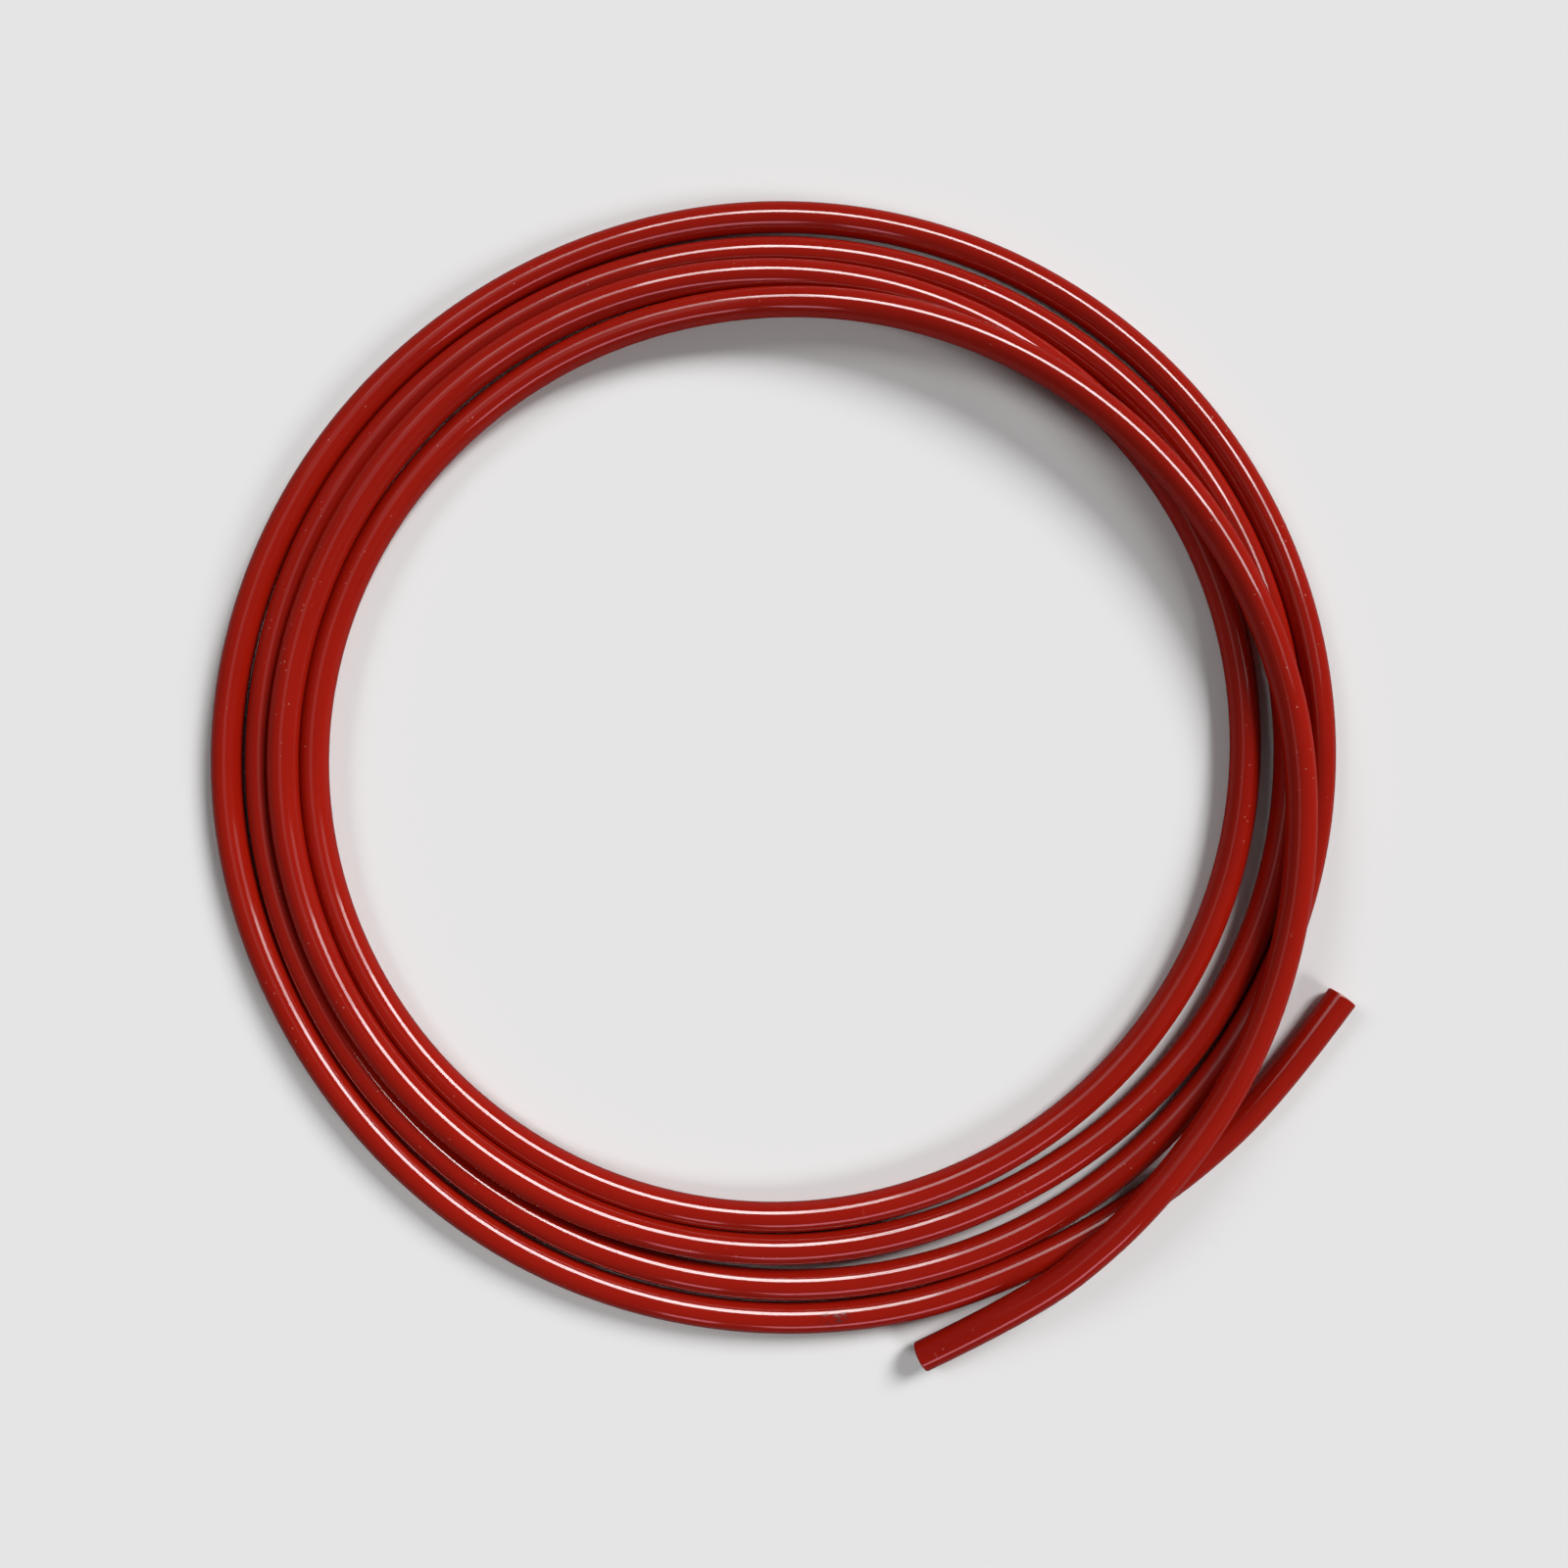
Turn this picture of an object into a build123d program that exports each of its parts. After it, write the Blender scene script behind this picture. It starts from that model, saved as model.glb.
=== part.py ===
"""Coiled air hose: one bare length of 3/8 in pneumatic line, laid flat in a little over four turns.

The coil stands on the floor as one closed solid of its outer shape. Its third turn rides half up on
its neighbours and its last turn climbs over it, so the solid carries a low band and a higher ridge.
Tail A leaves the outermost turn along the floor. Tail B leaves the ridge, crosses tail A and comes
down to the floor. Both tails end in a straight piece with the hose's real wall and bore.

Angles run clockwise from +X, seen from above, the way the hose is wound. Lengths are millimetres.
"""
import os
from math import cos, pi, radians, sin, tan

from build123d import *

# Hose section
HOSE_OD = 9.525
HOSE_ID = 6.35

# Coil: outer edge, central opening and where they sit; the frame's origin is the middle of the box
COIL_CENTRE = (-2.25, 5.79)
COIL_RADIUS = 181.0
OPENING_RADIUS = 143.2
OPENING_SHIFT = (1.9, 2.5)
EDGE_ROUNDING = 0.45 * HOSE_OD

# The outermost turn ends in a step, which tail A meets; past it the second turn is the outer edge
STEP_ANGLE = 75
STEP_INNER_RADIUS = 171.6
TAIL_A_RADIUS = 177.0
SPIRAL_MIDDLE = (30, 176.6)
SPIRAL_END_ANGLE = -15

# Third turn, half up on its neighbours
RAISED_RADIUS = 155.0
RAISED_ANGLES = (60, 310)
RAISED_TOP = 1.5 * HOSE_OD
RAISED_RAMP = (75, 160)

# Last turn: it climbs round the opening, then runs out over the others on an arc of its own
CROSSING_GAP = 0.3
CROSSING_AXIS = 1.5 * HOSE_OD + CROSSING_GAP
CROSSING_TOP = CROSSING_AXIS + HOSE_OD / 2
CLIMB_RADIUS = 147.0
CLIMB_ANGLES = (195, 265)
CLIMB_RAMP = (200, 310)
CROSSING_SHIFT = 16.5

# Tails: the corners of their routes, as clockwise angle and radius (tail B with its height too, in
# hose diameters), between a first run square to the coil and a last run of LAST_RUN to the tip
FIRST_RUN = 30.0
LAST_RUN = 36.0
TAIL_A_CORNERS = ((54.5, 181.4), (43.8, 185.2))
TAIL_B_CORNERS = ((27.0, 173.2, 1.54), (36.5, 175.5, 1.56), (45.5, 178.2, 1.62), (54.5, 181.8, 1.66))

# Ends: where each tip is, the way it points, and how steeply end B comes down
END_A_PLACE = (22, 195.9)
END_A_HEADING = -54.1
END_B_PLACE = (76, 194.2)
END_B_HEADING = 149.9
END_B_DROP = 11.0

# Share of the shorter run beside a corner that the corner's arc takes up
ARC_SHARE = 0.45


def place(angle, radius, height=0.0):
    """Point at a clockwise angle and a radius from the coil's centre."""
    x = COIL_CENTRE[0] + radius * cos(radians(angle))
    y = COIL_CENTRE[1] - radius * sin(radians(angle))
    return Vector(x, y, height)


def heading(angle, drop=0.0):
    """Unit vector that points along a clockwise angle and down by a drop, in degrees."""
    level = cos(radians(drop))
    return Vector(level * cos(radians(angle)), -level * sin(radians(angle)), -sin(radians(drop)))


def corner_radii(route):
    """Radius of the arc at each corner of a route, as large as its two runs allow."""
    radii = []
    for before, corner, after in zip(route, route[1:], route[2:]):
        arrive, leave = corner - before, after - corner
        half_turn = radians(arrive.get_angle(leave)) / 2
        radii.append(ARC_SHARE * min(arrive.length, leave.length) / tan(half_turn))
    return radii


def ramp_plane(low, high):
    """Plane that rises from one point to another and is level across the slope."""
    along = high - low
    across = Vector(0, 0, 1).cross(along)
    return Plane(origin=low, x_dir=along, z_dir=along.cross(across))


os.makedirs("parts", exist_ok=True)

# Band of the third turn, ramped up where it starts to ride on its neighbours
with BuildPart() as raised_turn:
    with BuildSketch():
        with BuildLine():
            CenterArc(COIL_CENTRE, RAISED_RADIUS, -RAISED_ANGLES[0], RAISED_ANGLES[0] - RAISED_ANGLES[1])
        trace(line_width=HOSE_OD)
    extrude(amount=RAISED_TOP)
    raised_low = place(RAISED_RAMP[0], RAISED_RADIUS, HOSE_OD)
    raised_high = Vector(raised_low.X, place(RAISED_RAMP[1], RAISED_RADIUS).Y, RAISED_TOP)
    split(bisect_by=ramp_plane(raised_low, raised_high), keep=Keep.BOTTOM)

# Ridge of the last turn: the climb round the opening, then the arc that crosses the other turns
crossing_centre = place(CLIMB_ANGLES[1] + 180, CROSSING_SHIFT)
crossing_radius = CLIMB_RADIUS + CROSSING_SHIFT
with BuildPart() as crossing_turn:
    with BuildSketch():
        with BuildLine():
            CenterArc(COIL_CENTRE, CLIMB_RADIUS, -CLIMB_ANGLES[0], CLIMB_ANGLES[0] - CLIMB_ANGLES[1])
            CenterArc((crossing_centre.X, crossing_centre.Y), crossing_radius,
                      360 - CLIMB_ANGLES[1], CLIMB_ANGLES[1] - 360)
        trace(line_width=HOSE_OD)
    extrude(amount=CROSSING_TOP)
    climb_low = place(CLIMB_RAMP[0], CLIMB_RADIUS, HOSE_OD)
    climb_high = place(CLIMB_RAMP[1], CLIMB_RADIUS, CROSSING_TOP)
    split(bisect_by=ramp_plane(climb_low, climb_high), keep=Keep.BOTTOM)

# Coil: a rounded ring of one hose's height, with the step for tail A, the band and the ridge
with BuildPart() as hose_coil:
    with BuildSketch():
        with BuildLine():
            CenterArc(COIL_CENTRE, COIL_RADIUS, -STEP_ANGLE, STEP_ANGLE - 360 - SPIRAL_END_ANGLE)
            ThreePointArc(place(SPIRAL_END_ANGLE, COIL_RADIUS), place(*SPIRAL_MIDDLE),
                          place(STEP_ANGLE, STEP_INNER_RADIUS))
            Line(place(STEP_ANGLE, STEP_INNER_RADIUS), place(STEP_ANGLE, COIL_RADIUS))
        make_face()
        with Locations((COIL_CENTRE[0] + OPENING_SHIFT[0], COIL_CENTRE[1] + OPENING_SHIFT[1])):
            Circle(OPENING_RADIUS, mode=Mode.SUBTRACT)
    extrude(amount=HOSE_OD)
    fillet(hose_coil.edges().filter_by(GeomType.CIRCLE), EDGE_ROUNDING)
    add(raised_turn.part)
    add(crossing_turn.part)
hose_coil.part.label = "hose_coil"
export_step(hose_coil.part, "parts/hose_coil.step")

# Tail A runs along the floor from the step to end A
tail_a_start = place(STEP_ANGLE, TAIL_A_RADIUS, HOSE_OD / 2)
end_a_tip = place(*END_A_PLACE, HOSE_OD / 2)
tail_a_route = [
    tail_a_start,
    tail_a_start + heading(STEP_ANGLE - 90) * FIRST_RUN,
    *[place(*corner, HOSE_OD / 2) for corner in TAIL_A_CORNERS],
    end_a_tip - heading(END_A_HEADING) * LAST_RUN,
    end_a_tip,
]

# Tail B leaves the ridge, crosses tail A and comes down until end B's lower lip touches the floor
tail_b_start = Vector(crossing_centre.X + crossing_radius, crossing_centre.Y, CROSSING_AXIS)
end_b_tip = place(*END_B_PLACE, HOSE_OD / 2 * cos(radians(END_B_DROP)))
tail_b_route = [
    tail_b_start,
    tail_b_start + heading(90) * FIRST_RUN,
    *[place(angle, radius, height * HOSE_OD) for angle, radius, height in TAIL_B_CORNERS],
    end_b_tip - heading(END_B_HEADING, END_B_DROP) * LAST_RUN,
    end_b_tip,
]

# Each tail is the hose's own section along its route; the last straight stretch is the end's node
for letter, route in (("a", tail_a_route), ("b", tail_b_route)):
    with BuildLine() as hose_line:
        FilletPolyline(*route, radius=corner_radii(route))
    *bent_edges, end_edge = hose_line.wire().order_edges()

    with BuildPart() as hose_tail:
        with BuildSketch(Plane(origin=route[0], z_dir=route[1] - route[0])):
            Circle(HOSE_OD / 2)
            Circle(HOSE_ID / 2, mode=Mode.SUBTRACT)
        sweep(path=Wire(bent_edges))
    hose_tail.part.label = f"hose_tail_{letter}"
    export_step(hose_tail.part, f"parts/hose_tail_{letter}.step")

    with BuildPart() as hose_end:
        with BuildSketch(Plane(origin=end_edge @ 0, z_dir=end_edge % 0)):
            Circle(HOSE_OD / 2)
            Circle(HOSE_ID / 2, mode=Mode.SUBTRACT)
        extrude(amount=end_edge.length)
    hose_end.part.label = f"hose_end_{letter}"
    export_step(hose_end.part, f"parts/hose_end_{letter}.step")

    # the arcs' radii, and the tube's volume beside its section times its length
    wall_section = pi * (HOSE_OD**2 - HOSE_ID**2) / 4
    tail_length = sum(edge.length for edge in bent_edges)
    print("tail", letter, "radii", [round(radius, 1) for radius in corner_radii(route)])
    print("tail", letter, "runs", [round((b - a).length, 1) for a, b in zip(route, route[1:])])
    print("tail", letter, "length", round(tail_length, 1), "end length", round(end_edge.length, 2))
    print("tail", letter, "volume", round(hose_tail.part.volume, 1),
          "section x length", round(wall_section * tail_length, 1))
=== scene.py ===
"""Coiled air hose: the looks of one bare length of red pneumatic line, laid flat in a little over four turns.

Lengths are metres in the CAD frame. Angles run clockwise from +X, seen from above, the way the hose
is wound: they are written in degrees and go on past 360 from turn to turn.
"""
from math import cos, pi, radians, sin, tan, tau

import bpy
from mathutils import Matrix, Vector


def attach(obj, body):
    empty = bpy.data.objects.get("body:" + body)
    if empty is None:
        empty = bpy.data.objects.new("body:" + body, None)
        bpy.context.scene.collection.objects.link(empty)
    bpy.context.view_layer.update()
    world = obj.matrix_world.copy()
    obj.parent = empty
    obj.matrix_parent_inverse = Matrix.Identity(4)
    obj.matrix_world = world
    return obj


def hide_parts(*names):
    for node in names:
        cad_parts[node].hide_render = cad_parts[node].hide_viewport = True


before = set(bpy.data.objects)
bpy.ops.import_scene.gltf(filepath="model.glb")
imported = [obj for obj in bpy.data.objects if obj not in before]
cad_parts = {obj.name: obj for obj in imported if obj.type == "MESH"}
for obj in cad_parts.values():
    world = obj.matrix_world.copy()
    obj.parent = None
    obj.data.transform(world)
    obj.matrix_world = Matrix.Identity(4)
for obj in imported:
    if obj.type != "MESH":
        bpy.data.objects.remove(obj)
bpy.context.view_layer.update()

# Hose section, as in the CAD model
HOSE_OD = 0.009525
HOSE_ID = 0.00635

# Mesh of the hose: spline steps between two control points, sides, rounding of the cut edges, and how
# many rings of the wall one bore ring spans
SPLINE_STEPS = 8
HOSE_SIDES = 64
CUT_LIP = 0.0003
BORE_STRIDE = 4

# The coil: radius of each turn at every hour from 5 o'clock round to 4 o'clock, in millimetres
COIL_CENTRE = (-0.00225, 0.00579)
COIL_START = 60
HOUR = 30
TURN_RADII = (
    (178.9, 175.9, 174.2, 173.1, 175.1, 174.9, 174.7, 175.9, 176.6, 176.1, 174.5, 171.5),
    (168.7, 165.3, 163.5, 163.2, 164.0, 164.9, 164.8, 164.7, 165.4, 166.1, 164.6, 161.1),
    (155.6, 153.5, 153.3, 154.0, 155.1, 155.4, 156.3, 156.0, 155.7, 154.2, 150.4, 146.9),
    (144.4, 143.8, 144.5, 145.9, 147.3, 147.4, 146.8, 146.6, 149.5, 156.0, 164.6, 172.7),
)
# Where the turns ride on each other: angle run, and height above a hose on the floor, in diameters
LIFTS = (
    (60, 0.0), (765, 0.0), (885, 0.58), (915, 0.58), (975, 0.52), (1000, 0.45), (1050, 0.0),
    (1300, 0.0), (1390, 1.12), (1440, 1.05), (1500, 1.03),
)
# Points of the coil's loop: its first and last angle, and the step between two points
COIL_FIRST = 75
COIL_LAST = 1435
COIL_STEP = 10

# Tails, point by point: clockwise angle, radius in millimetres, height in diameters
TAIL_A = ((22, 195.9, 0.5), (33, 190.1, 0.5), (44, 185.0, 0.5), (54.5, 180.9, 0.5), (65, 178.5, 0.5))
TAIL_B = (
    (5, 166.2, 1.54), (16, 169.5, 1.54), (27, 172.8, 1.57), (36.5, 175.4, 1.62), (45.5, 177.9, 1.66),
    (54.5, 181.6, 1.62), (64.4, 187.2, 1.26), (76, 194.2, 0.49),
)

# Camera: straight above the coil, at the height where the view is this wide at the hose's middle
VIEW_MIDDLE = (0.00089, 0.00047)
VIEW_HEIGHT = 0.4386
VIEW_WIDTH = 0.5013


def smooth_step(table, x):
    """Value of a table of (x, value) rows, eased in and out between two rows."""
    for (x0, low), (x1, high) in zip(table, table[1:]):
        if x <= x1:
            t = (x - x0) / (x1 - x0)
            return low + (high - low) * t * t * (3 - 2 * t)
    return table[-1][1]


def turn_radius(angle):
    """Radius of the coil at an angle, on a smooth curve through the hours' radii."""
    radii = [radius for turn in TURN_RADII for radius in turn]
    place = (angle - COIL_START) / HOUR
    first = min(int(place), len(radii) - 2)
    t = place - first
    before, here, after, beyond = (
        radii[min(max(first + step, 0), len(radii) - 1)] for step in (-1, 0, 1, 2)
    )
    slope = (after - before) / 2
    next_slope = (beyond - here) / 2
    return (
        here * (2 * t**3 - 3 * t**2 + 1) + slope * (t**3 - 2 * t**2 + t)
        + after * (3 * t**2 - 2 * t**3) + next_slope * (t**3 - t**2)
    )


def around(angle, radius_mm, height):
    """Point at a clockwise angle, a radius in millimetres and a height in hose diameters."""
    x = COIL_CENTRE[0] + radius_mm / 1000 * cos(radians(angle))
    y = COIL_CENTRE[1] - radius_mm / 1000 * sin(radians(angle))
    return Vector((x, y, height * HOSE_OD))


def route_points():
    """Control points of the whole hose: tail A, the turns of the coil, tail B."""
    points = [around(*station) for station in TAIL_A]
    # a spline of order 3 passes inside its control points, so the loop's points stand this much out
    stand_out = 1 / (0.75 + 0.25 * cos(radians(COIL_STEP)))
    for angle in range(COIL_FIRST, COIL_LAST + 1, COIL_STEP):
        radius = turn_radius(angle) * stand_out
        points.append(around(angle, radius, 0.5 + smooth_step(LIFTS, angle)))
    points += [around(*station) for station in TAIL_B]
    return points


def spline_line(points, steps):
    """Points along the smooth NURBS curve that has these control points."""
    curve = bpy.data.curves.new("hose_route", "CURVE")
    curve.dimensions = "3D"
    curve.resolution_u = steps
    spline = curve.splines.new("NURBS")
    spline.points.add(len(points) - 1)
    for control, point in zip(spline.points, points):
        control.co = (*point, 1)
    spline.order_u = 3
    spline.use_endpoint_u = True
    holder = bpy.data.objects.new("hose_route", curve)
    line = bpy.data.meshes.new_from_object(holder)
    found = [vertex.co.copy() for vertex in line.vertices]
    bpy.data.objects.remove(holder)
    bpy.data.curves.remove(curve)
    bpy.data.meshes.remove(line)
    return found


def look_down_camera():
    camera_data = bpy.data.cameras.new("camera")
    camera_data.sensor_width = 36
    camera_data.lens = camera_data.sensor_width * VIEW_HEIGHT / VIEW_WIDTH
    camera_data.clip_start = 0.01
    camera = bpy.data.objects.new("camera", camera_data)
    camera.location = (*VIEW_MIDDLE, HOSE_OD / 2 + VIEW_HEIGHT)
    bpy.context.collection.objects.link(camera)
    bpy.context.scene.camera = camera


def hose_mesh(line, sides, lip):
    """Hollow tube along a line: outer wall, bore, and square cut ends with a lip's rounding.

    The point attribute "straight" holds each point's place on the hose pulled straight along Z.
    """
    along = [0.0]
    for here, after in zip(line, line[1:]):
        along.append(along[-1] + (after - here).length)
    outer = HOSE_OD / 2
    bore = HOSE_ID / 2
    shoulder = lip * 0.3
    bore_lip = lip * 0.5

    def ring(index, radius, inset):
        before = line[max(index - 1, 0)]
        after = line[min(index + 1, len(line) - 1)]
        forward = (after - before).normalized()
        side = forward.cross(Vector((0, 0, 1))).normalized()
        up = side.cross(forward)
        centre = line[index] + forward * inset
        place = along[index] + inset
        found = []
        for step in range(sides):
            turn = tau * step / sides
            across = Vector((cos(turn), sin(turn))) * radius
            found.append((centre + side * across.x + up * across.y, (across.x, across.y, place)))
        return found

    last = len(line) - 1
    profile = [ring(0, outer - lip, 0), ring(0, outer - shoulder, shoulder)]
    profile += [ring(0, outer, lip), ring(0, outer, lip * 2)]
    profile += [ring(index, outer, 0) for index in range(1, last)]
    profile += [ring(last, outer, -lip * 2), ring(last, outer, -lip)]
    profile += [ring(last, outer - shoulder, -shoulder), ring(last, outer - lip, 0)]
    profile += [ring(last, bore + bore_lip, 0), ring(last, bore, -bore_lip)]
    profile += [ring(index, bore, 0) for index in range(last - 1, 0, -BORE_STRIDE)]
    profile += [ring(0, bore, bore_lip), ring(0, bore + bore_lip, 0)]

    points = [point for found in profile for point, _ in found]
    straight = [value for found in profile for _, value in found]
    faces = []
    for row in range(len(profile)):
        low = row * sides
        high = (row + 1) % len(profile) * sides
        for step in range(sides):
            beside = (step + 1) % sides
            faces.append((low + step, low + beside, high + beside, high + step))
    mesh = bpy.data.meshes.new("air_hose")
    mesh.from_pydata(points, [], faces)
    attribute = mesh.attributes.new("straight", "FLOAT_VECTOR", "POINT")
    attribute.data.foreach_set("vector", [number for value in straight for number in value])
    # from the far lip's inner edge through the bore to the near lip's, the rows show the cut plastic
    first_cut = last + 6
    mesh.polygons.foreach_set(
        "material_index", [int(row >= first_cut) for row in range(len(profile)) for _ in range(sides)]
    )
    mesh.shade_smooth()
    mesh.update()
    return mesh


look_down_camera()
line = spline_line(route_points(), SPLINE_STEPS)
hose = bpy.data.objects.new("air_hose", hose_mesh(line, HOSE_SIDES, CUT_LIP))
bpy.context.collection.objects.link(hose)
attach(hose, "root")
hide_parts("hose_coil", "hose_tail_a", "hose_tail_b", "hose_end_a", "hose_end_b")


# --- Materials ---

# Colours are linear
HOSE_RED = (0.335, 0.0092, 0.0032, 1)
BLOTCH_RED = (0.300, 0.0074, 0.0026, 1)
GRIME_COLOUR = (0.10, 0.010, 0.008, 1)
DUST_COLOUR = (0.46, 0.15, 0.12, 1)
NICK_COLOUR = (0.44, 0.09, 0.07, 1)
CUT_RED = (0.30, 0.010, 0.006, 1)
CUT_DARK_RED = (0.22, 0.006, 0.004, 1)
PLASTIC_IOR = 1.5
MARK_ROUGHNESS = 0.5
# The floor's shade, and its shade in reflections
FLOOR_SHADE = 0.86
FLOOR_GLOSS_SHADE = 0.16
# A dark smudge on the outermost turn: its place on the straight hose, with the length along it halved
SMUDGE_PLACE = (0.0012, 0.0046, 0.099)
SMUDGE_SIZE = 0.0032


def shader(name):
    """New node material: the material, its node tree and its Principled shader."""
    material = bpy.data.materials.new(name)
    material.use_nodes = True
    return material, material.node_tree, material.node_tree.nodes["Principled BSDF"]


def node(tree, kind, **inputs):
    """New node, with input values or links given by input name, underscores for spaces."""
    made = tree.nodes.new(kind)
    for key, value in inputs.items():
        socket = made.inputs[key.replace("_", " ")]
        if isinstance(value, bpy.types.NodeSocket):
            tree.links.new(value, socket)
        else:
            socket.default_value = value
    return made


def straight_place(tree):
    """Each point's place on the hose pulled straight along Z, in metres."""
    place = node(tree, "ShaderNodeAttribute")
    place.attribute_name = "straight"
    return place.outputs["Vector"]


def scaled(tree, vector, across, along):
    """The hose's own coordinates times a number of cycles per metre across and along it."""
    made = tree.nodes.new("ShaderNodeVectorMath")
    made.operation = "MULTIPLY"
    tree.links.new(vector, made.inputs[0])
    made.inputs[1].default_value = (across, across, along)
    return made.outputs[0]


def noise(tree, vector, detail):
    """Noise with one cycle per unit of the vector."""
    return node(tree, "ShaderNodeTexNoise", Vector=vector, Scale=1.0, Detail=detail).outputs["Fac"]


def mapped(tree, value, low, high, to_low=0.0, to_high=1.0):
    """Value carried from one range to another, and held inside it."""
    return node(tree, "ShaderNodeMapRange", Value=value, From_Min=low, From_Max=high,
                To_Min=to_low, To_Max=to_high).outputs[0]


def combined(tree, operation, first, second):
    """Two values put together by a math node's operation."""
    made = tree.nodes.new("ShaderNodeMath")
    made.operation = operation
    tree.links.new(first, made.inputs[0])
    tree.links.new(second, made.inputs[1])
    return made.outputs[0]


def blended(tree, factor, base, top):
    """Colour that goes from base to top by a factor; base is a colour or a socket."""
    made = tree.nodes.new("ShaderNodeMix")
    made.data_type = "RGBA"
    tree.links.new(factor, made.inputs["Factor"])
    if isinstance(base, bpy.types.NodeSocket):
        tree.links.new(base, made.inputs[6])
    else:
        made.inputs[6].default_value = base
    made.inputs[7].default_value = top
    return made.outputs[2]


def spots(tree, vector, size, share):
    """Scattered spots, one in a share of the cells; size is the spot's radius in cells."""
    cells = node(tree, "ShaderNodeTexVoronoi", Vector=vector, Scale=1.0)
    chance = node(tree, "ShaderNodeSeparateColor", Color=cells.outputs["Color"]).outputs[0]
    inside = mapped(tree, cells.outputs["Distance"], size, size * 0.5)
    chosen = mapped(tree, chance, 1 - share, 1 - share * 0.9)
    return combined(tree, "MULTIPLY", inside, chosen)


def grime_on(tree, straight):
    """The one smudge, broken up by fine noise."""
    near = tree.nodes.new("ShaderNodeVectorMath")
    near.operation = "DISTANCE"
    tree.links.new(scaled(tree, straight, across=1.0, along=0.5), near.inputs[0])
    near.inputs[1].default_value = SMUDGE_PLACE
    smudge = mapped(tree, near.outputs["Value"], SMUDGE_SIZE, SMUDGE_SIZE * 0.5)
    fine = noise(tree, scaled(tree, straight, across=900, along=500), detail=4)
    broken = mapped(tree, fine, 0.35, 0.7)
    return combined(tree, "MULTIPLY", smudge, broken)


def dust_on(tree, straight):
    """Specks in patches, on the upper side only."""
    normal = tree.nodes.new("ShaderNodeNewGeometry").outputs["Normal"]
    upward = node(tree, "ShaderNodeSeparateXYZ", Vector=normal)
    top_side = mapped(tree, upward.outputs["Z"], 0.75, 0.95)
    patches = noise(tree, scaled(tree, straight, across=60, along=14), detail=3)
    where = combined(tree, "MULTIPLY", top_side, mapped(tree, patches, 0.45, 0.6))
    specks = spots(tree, scaled(tree, straight, across=900, along=900), size=0.30, share=0.04)
    return combined(tree, "MULTIPLY", specks, where)


def hose_plastic():
    """Glossy red tube: drawn streaks along it, faint blotches, a smudge, dust and fine nicks."""
    material, tree, bsdf = shader("hose_plastic")
    bsdf.inputs["IOR"].default_value = PLASTIC_IOR
    straight = straight_place(tree)
    grime = grime_on(tree, straight)
    dust = dust_on(tree, straight)

    blotches = noise(tree, scaled(tree, straight, across=160, along=22), detail=4)
    nicks = spots(tree, scaled(tree, straight, across=160, along=2600), size=0.30, share=0.002)
    colour = blended(tree, mapped(tree, blotches, 0.3, 0.7), HOSE_RED, BLOTCH_RED)
    colour = blended(tree, grime, colour, GRIME_COLOUR)
    colour = blended(tree, dust, colour, DUST_COLOUR)
    colour = blended(tree, nicks, colour, NICK_COLOUR)
    tree.links.new(colour, bsdf.inputs["Base Color"])

    sheen = noise(tree, scaled(tree, straight, across=500, along=60), detail=3)
    clean = mapped(tree, sheen, 0.3, 0.75, to_low=0.06, to_high=0.10)
    marks = mapped(tree, combined(tree, "MAXIMUM", dust, grime), 0, 1, to_high=MARK_ROUGHNESS)
    tree.links.new(combined(tree, "MAXIMUM", clean, marks), bsdf.inputs["Roughness"])

    streaks = noise(tree, scaled(tree, straight, across=1500, along=9), detail=2)
    relief = mapped(tree, streaks, 0.3, 0.7)
    bump = node(tree, "ShaderNodeBump", Strength=0.1, Distance=0.00002, Height=relief)
    tree.links.new(bump.outputs["Normal"], bsdf.inputs["Normal"])
    return material


def cut_plastic():
    """The same plastic where the knife went through, and the bore behind it: dull, with drag marks."""
    material, tree, bsdf = shader("cut_plastic")
    bsdf.inputs["IOR"].default_value = PLASTIC_IOR
    drag = noise(tree, scaled(tree, straight_place(tree), across=2500, along=200), detail=3)
    colour = blended(tree, mapped(tree, drag, 0.3, 0.7), CUT_RED, CUT_DARK_RED)
    tree.links.new(colour, bsdf.inputs["Base Color"])
    roughness = mapped(tree, drag, 0.3, 0.7, to_low=0.45, to_high=0.65)
    tree.links.new(roughness, bsdf.inputs["Roughness"])
    bump = node(tree, "ShaderNodeBump", Strength=0.3, Distance=0.00005, Height=drag)
    tree.links.new(bump.outputs["Normal"], bsdf.inputs["Normal"])
    return material


def floor_paint():
    """Pale matt paint, which gloss sees darker, so that the hose's edges keep their colour."""
    material, tree, bsdf = shader("floor_paint")
    bsdf.inputs["Roughness"].default_value = 0.9
    bsdf.inputs["Specular IOR Level"].default_value = 0.0
    ray = tree.nodes.new("ShaderNodeLightPath")
    shade = node(tree, "ShaderNodeMapRange", Value=ray.outputs["Is Glossy Ray"],
                 To_Min=FLOOR_SHADE, To_Max=FLOOR_GLOSS_SHADE)
    tree.links.new(shade.outputs[0], bsdf.inputs["Base Color"])
    return material


hose.data.materials.append(hose_plastic())
hose.data.materials.append(cut_plastic())


# --- Stage ---

FLOOR_SIZE = 8.0
# The world's strength for light, and as the camera's backdrop
DOME_LIGHT = 0.07
BACKDROP_LIGHT = 0.85
# Strip lamp, seen in the gloss only: panels side by side on an arc, from a bearing in degrees from +X
LAMP_START = 11
LAMP_STEP = 10.5
LAMP_STRENGTHS = (1, 9, 20, 22, 22, 22, 22, 22, 15, 4.5, 1.8, 0.9, 0.4)
LAMP_DISTANCE = 0.37
LAMP_HEIGHTS = (0.41, 0.59)
LAMP_TUBE = 0.15
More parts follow.
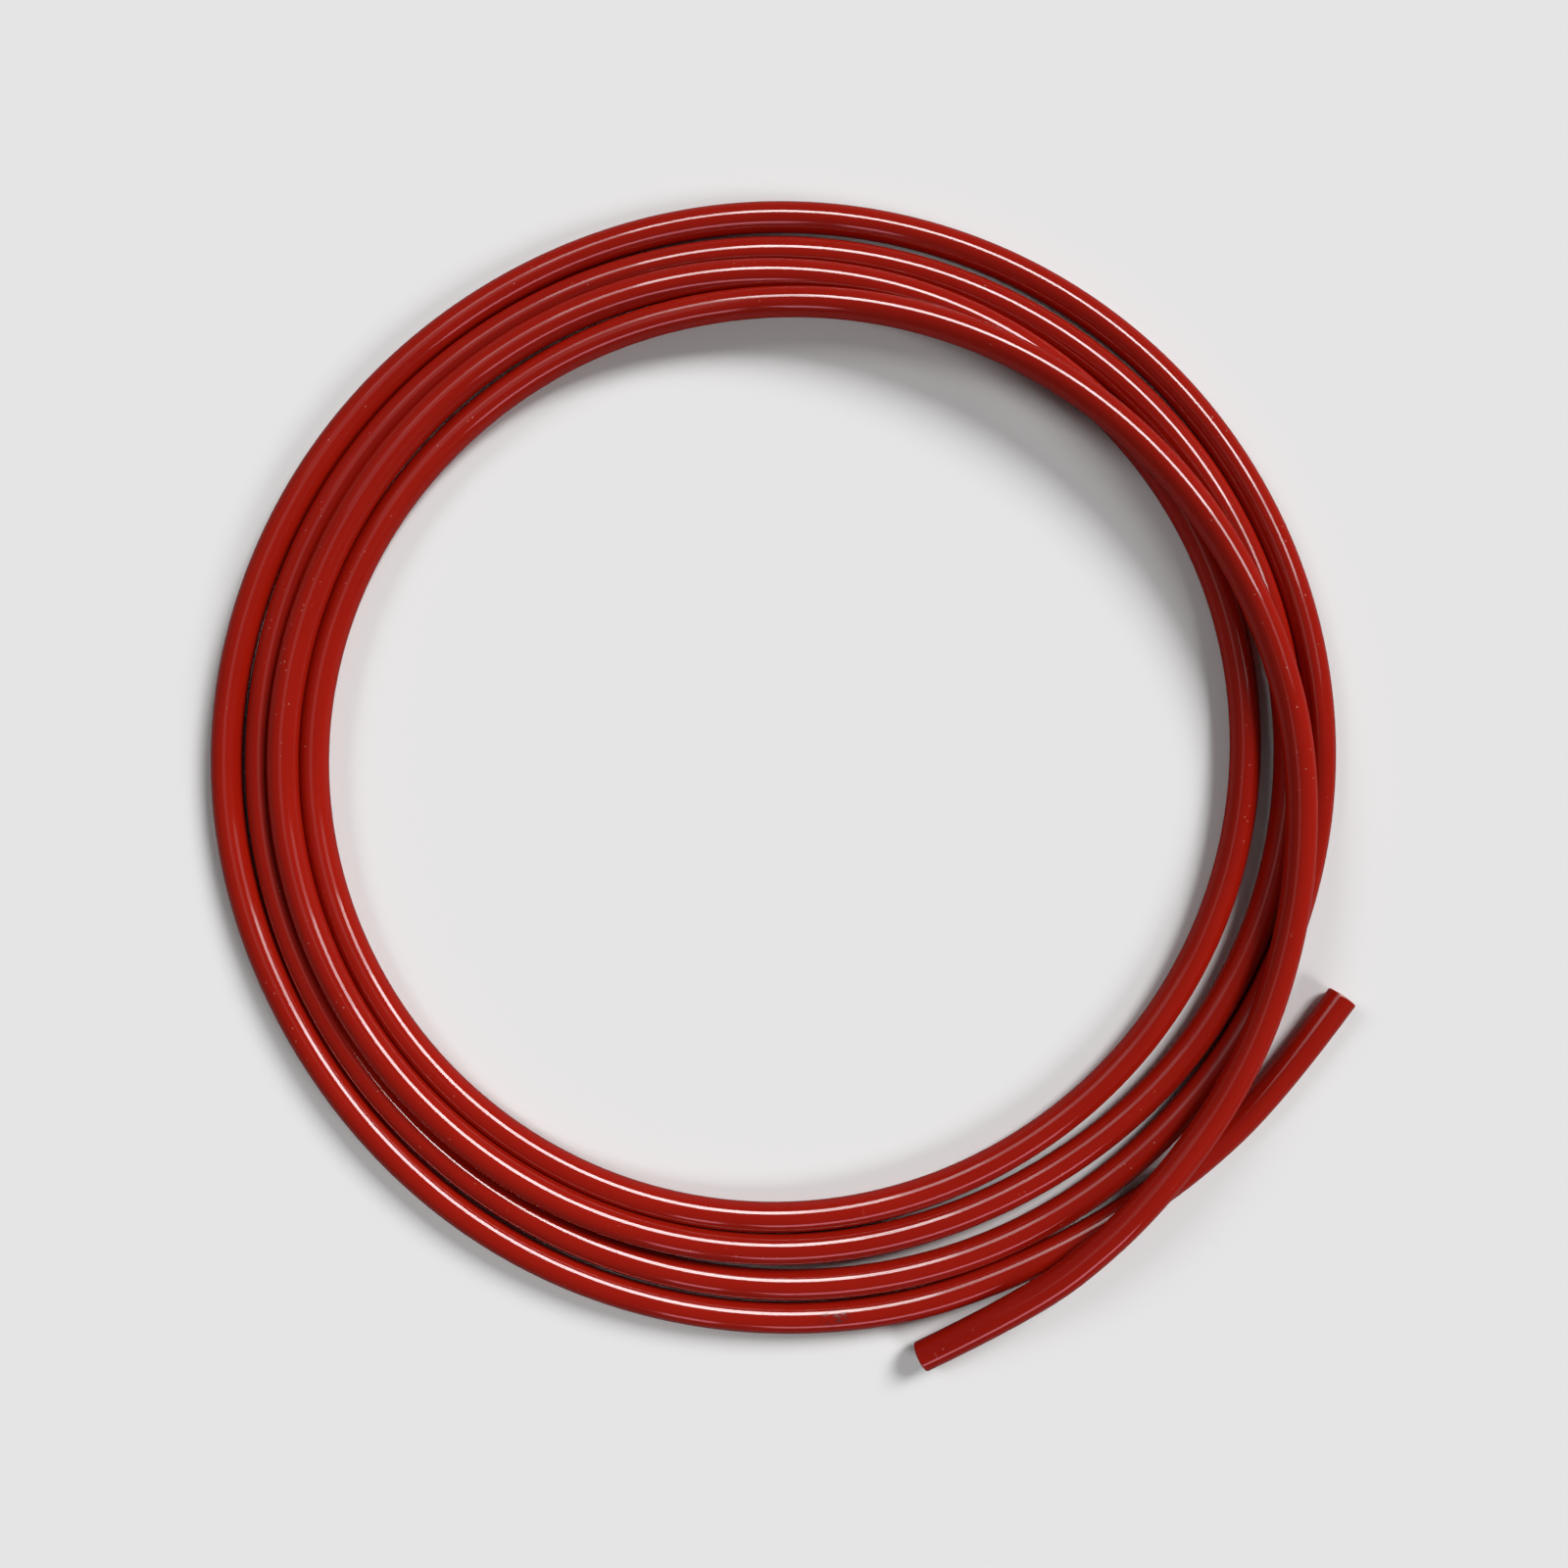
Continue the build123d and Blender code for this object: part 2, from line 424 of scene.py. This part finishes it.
# Window, seen in the gloss only: a wide part and a narrow pane
WINDOW_COLOUR = (1.0, 0.42, 0.52)
WINDOW_RADIANCE = 4.8
WINDOW_TALL = 0.6
WINDOW_PARTS = (("window", (0.62, -1.92, 1.45), 1.5), ("window_pane", (-0.35, -1.99, 1.45), 0.2))
# A dim card over the upper left of the coil, facing down
RETURN_PLACE = (-0.17, 0.19)
RETURN_HEIGHT = 0.5
RETURN_SIZE = (0.18, 0.52)
RETURN_RADIANCE = 0.38
# Suns, on surfaces only: name, the direction the light comes from, strength; softness in degrees
SUNS = (("key", (1, 1, 1.1), 2.6), ("right_fill", (1, -0.7, 0.9), 1.0), ("left_fill", (-1, 0.6, 1), 0.7))
SUN_SOFTNESS = 22


def floor():
    half = FLOOR_SIZE / 2
    plane = bpy.data.meshes.new("floor")
    corners = [(-half, -half, 0), (half, -half, 0), (half, half, 0), (-half, half, 0)]
    plane.from_pydata(corners, [], [(0, 1, 2, 3)])
    plane.materials.append(floor_paint())
    made = bpy.data.objects.new("floor", plane)
    bpy.context.collection.objects.link(made)


def gloss_panel(name, place, target, size, radiance, colour=(1, 1, 1)):
    """Rectangular light at a place, facing a target, long side level, that shows in gloss only."""
    data = bpy.data.lights.new(name, "AREA")
    data.shape = "RECTANGLE"
    data.size, data.size_y = size
    data.energy = radiance * pi * size[0] * size[1]
    data.color = colour
    made = bpy.data.objects.new(name, data)
    made.location = place
    made.rotation_euler = (Vector(target) - Vector(place)).to_track_quat("-Z", "Y").to_euler()
    made.visible_diffuse = False
    bpy.context.collection.objects.link(made)


def strip_lamp():
    """Two tubes, one over the other, bent round the far side of the coil and dimmer at both ends."""
    length = 2 * LAMP_DISTANCE * tan(radians(LAMP_STEP / 2))
    for step, strength in enumerate(LAMP_STRENGTHS):
        bearing = radians(LAMP_START + LAMP_STEP * (step + 0.5))
        for height in LAMP_HEIGHTS:
            place = (LAMP_DISTANCE * cos(bearing), LAMP_DISTANCE * sin(bearing), height)
            gloss_panel(f"strip_lamp_{step}_{height}", place, (0, 0, height), (length, LAMP_TUBE), strength)


def window():
    """Pinkish window on the near side: a wide part and a narrow pane beside it."""
    for name, place, width in WINDOW_PARTS:
        gloss_panel(name, place, (0, 0, 0), (width, WINDOW_TALL), WINDOW_RADIANCE, WINDOW_COLOUR)


def left_return():
    """Dim card that gives the left side of the coil a faint shine."""
    gloss_panel("left_return", (*RETURN_PLACE, RETURN_HEIGHT), (*RETURN_PLACE, 0), RETURN_SIZE,
                RETURN_RADIANCE)


def sun(name, direction, strength):
    """Even light from a direction, for surfaces only: gloss shows the lamps instead."""
    data = bpy.data.lights.new(name, "SUN")
    data.energy = strength
    data.angle = radians(SUN_SOFTNESS)
    made = bpy.data.objects.new(name, data)
    made.rotation_euler = Vector(direction).to_track_quat("Z", "Y").to_euler()
    made.visible_glossy = False
    bpy.context.collection.objects.link(made)


def room():
    """World: a pale backdrop for the camera, a dim dome for all else."""
    world = bpy.data.worlds.new("room")
    world.use_nodes = True
    tree = world.node_tree
    ray = tree.nodes.new("ShaderNodeLightPath")
    dome = tree.nodes["Background"]
    dome.inputs["Color"].default_value = (1, 1, 1, 1)
    strength = node(tree, "ShaderNodeMapRange", Value=ray.outputs["Is Camera Ray"],
                    To_Min=DOME_LIGHT, To_Max=BACKDROP_LIGHT).outputs[0]
    tree.links.new(strength, dome.inputs["Strength"])
    bpy.context.scene.world = world


floor()
strip_lamp()
window()
left_return()
for sun_name, direction, strength in SUNS:
    sun(sun_name, direction, strength)
room()
bpy.context.scene.view_settings.view_transform = "Standard"
